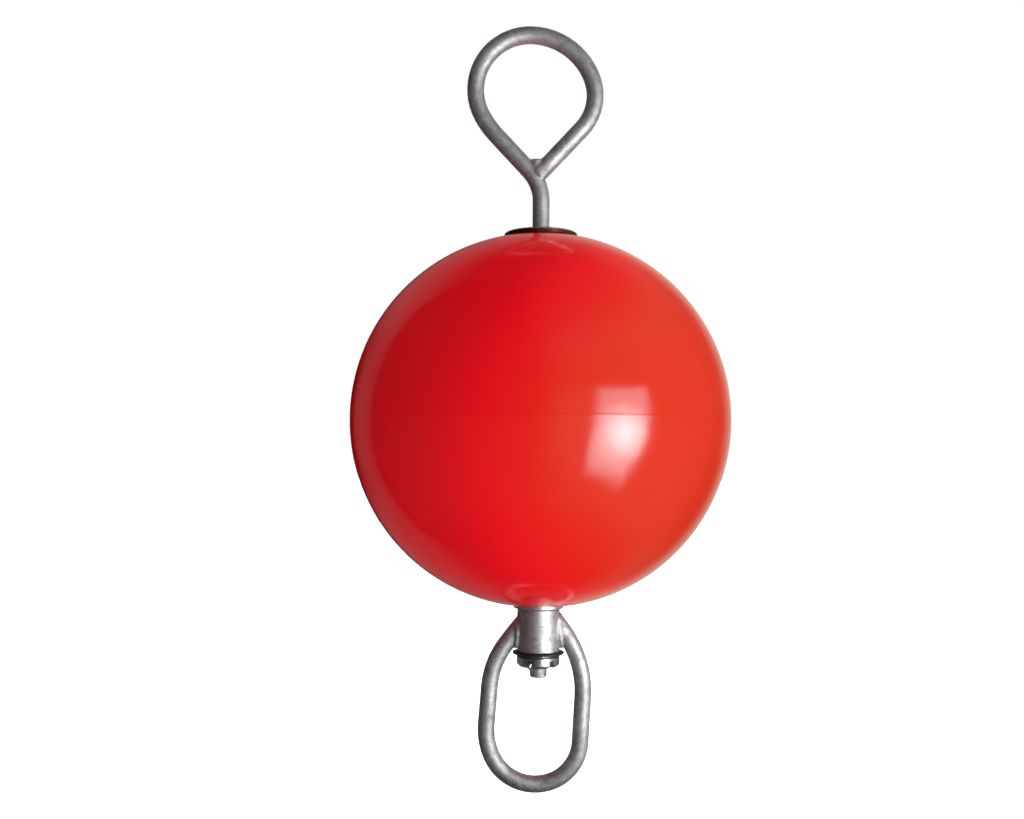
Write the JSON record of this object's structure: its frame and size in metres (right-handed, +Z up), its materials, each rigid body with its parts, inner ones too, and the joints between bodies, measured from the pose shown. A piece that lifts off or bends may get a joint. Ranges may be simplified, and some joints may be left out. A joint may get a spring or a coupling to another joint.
{
  "type": "mooring buoy",
  "caption": "Rigid moulded mooring ball on a through rod, with a lifting eye above and a swivelling bow below for the mooring chain.",
  "frame": {"origin": "the ball's centre: on the rod's axis, in the plane of the seam", "axes": "+Z up along the rod to the lifting eye; the eye and the bow lie in the XZ plane; -Y is the front"},
  "size_m": [0.3999, 0.4, 0.814],
  "materials": {
    "float": "glossy moulded polyethylene, signal red",
    "galvanised_bar": "hot-dip galvanised, matt and mottled",
    "weld": "weld bead under galvanising",
    "plate": "galvanised plate washer",
    "hub": "galvanised turned hub",
    "slip_washer": "dark fibre-reinforced slip washer",
    "nut": "bright zinc plated",
    "pin": "bright steel wire"
  },
  "bodies": {
    "float_and_rod": {"float_upper": "float", "float_lower": "float", "eye_rod": "galvanised_bar", "eye_weld": "weld", "top_plate": "plate", "top_plate_weld": "weld", "bottom_plate": "plate", "slip_washer": "slip_washer", "castle_nut": "nut", "split_pin": "pin"},
    "swivel": {"swivel_hub": "hub", "swivel_bow": "galvanised_bar", "bow_weld_left": "weld", "bow_weld_right": "weld"}
  },
  "joints": [
    {"name": "swivel_spin", "type": "hinge", "parent": "float_and_rod", "child": "swivel", "pos_m": [0, 0, -0.22115], "axis": [0, 0, 1], "continuous": true}
  ]
}
